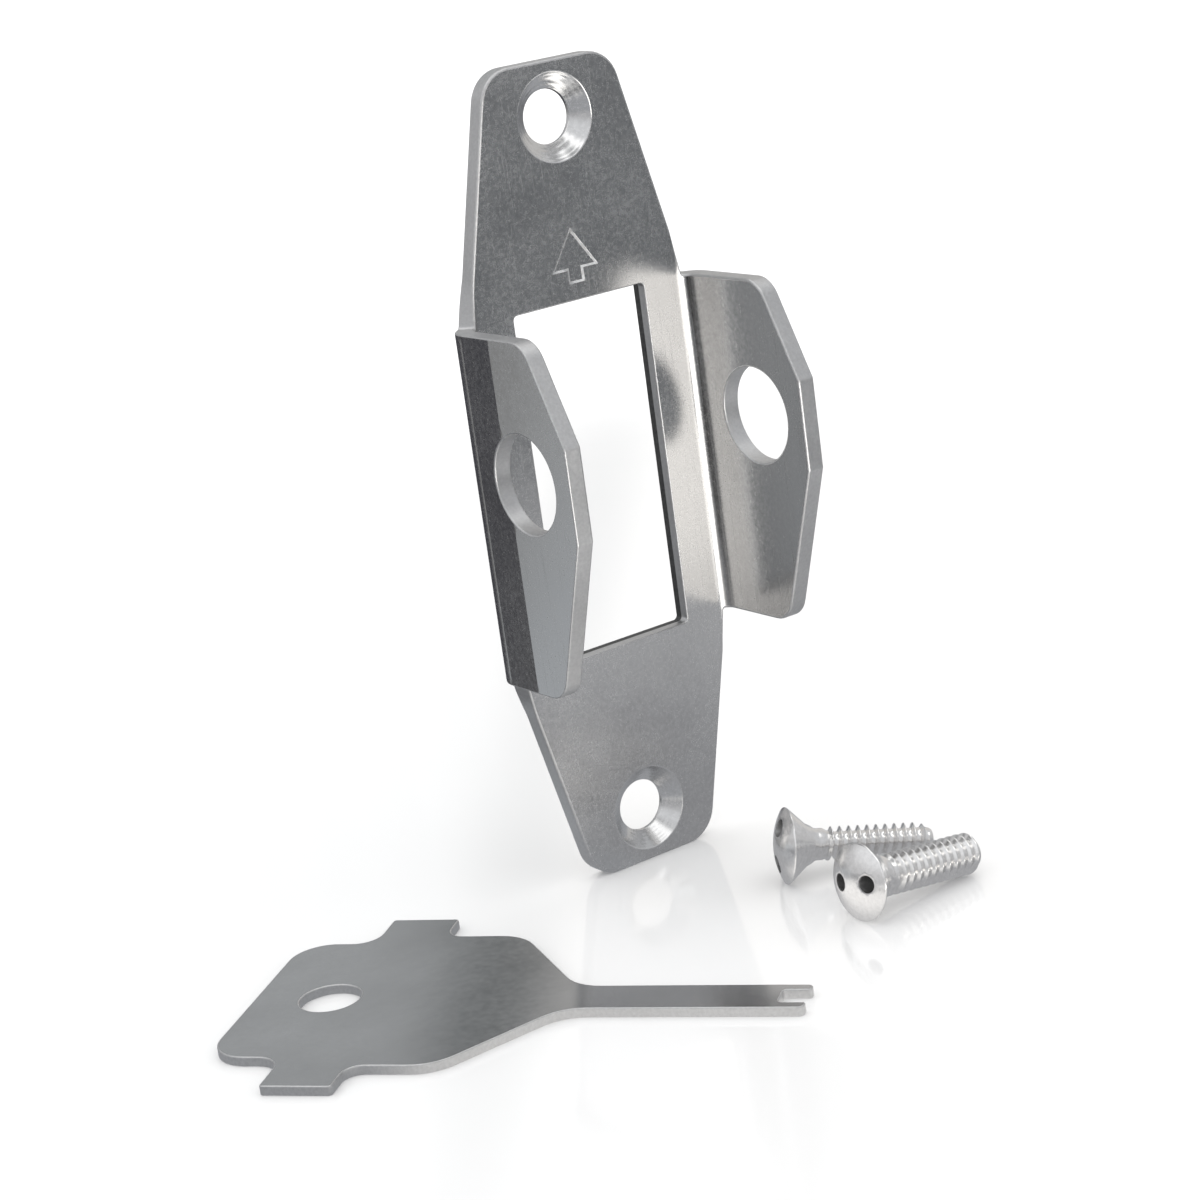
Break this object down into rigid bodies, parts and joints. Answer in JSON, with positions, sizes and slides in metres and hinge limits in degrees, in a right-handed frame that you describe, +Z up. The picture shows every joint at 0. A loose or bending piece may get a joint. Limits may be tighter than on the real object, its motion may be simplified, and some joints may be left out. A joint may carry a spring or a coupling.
{
  "type": "padlock guard bracket",
  "caption": "Bent steel guard that screws over a toggle switch and takes a padlock shackle through its two ears, with its tamper-proof screws and flat spanner key.",
  "frame": {"origin": "on the back face of the plate, midway between the two screw holes", "axes": "+Z up along the line of the two screw holes, -Y forward from the panel towards the ears' tips, +X to the right seen from the front"},
  "size_m": [0.0626, 0.0423, 0.0696],
  "materials": {
    "bracket_steel": "stainless sheet with a fine satin mottle and brighter sheared edges",
    "key_steel": "cold rolled stainless sheet with faint streaks along its rolling direction",
    "screw_steel": "bright stainless, semi polished"
  },
  "bodies": {
    "bracket": {"guard_bracket": "bracket_steel"},
    "key": {"spanner_key": "key_steel"},
    "machine_screw": {"machine_screw": "screw_steel"},
    "tapping_screw": {"tapping_screw": "screw_steel"}
  },
  "joints": [
    {"name": "key_lift", "type": "slide", "parent": "bracket", "child": "key", "axis": [0, 0, 1], "range_m": [0, 0.08]},
    {"name": "machine_screw_lift", "type": "slide", "parent": "bracket", "child": "machine_screw", "axis": [0, 0, 1], "range_m": [0, 0.08]},
    {"name": "tapping_screw_lift", "type": "slide", "parent": "bracket", "child": "tapping_screw", "axis": [0, 0, 1], "range_m": [0, 0.08]}
  ]
}
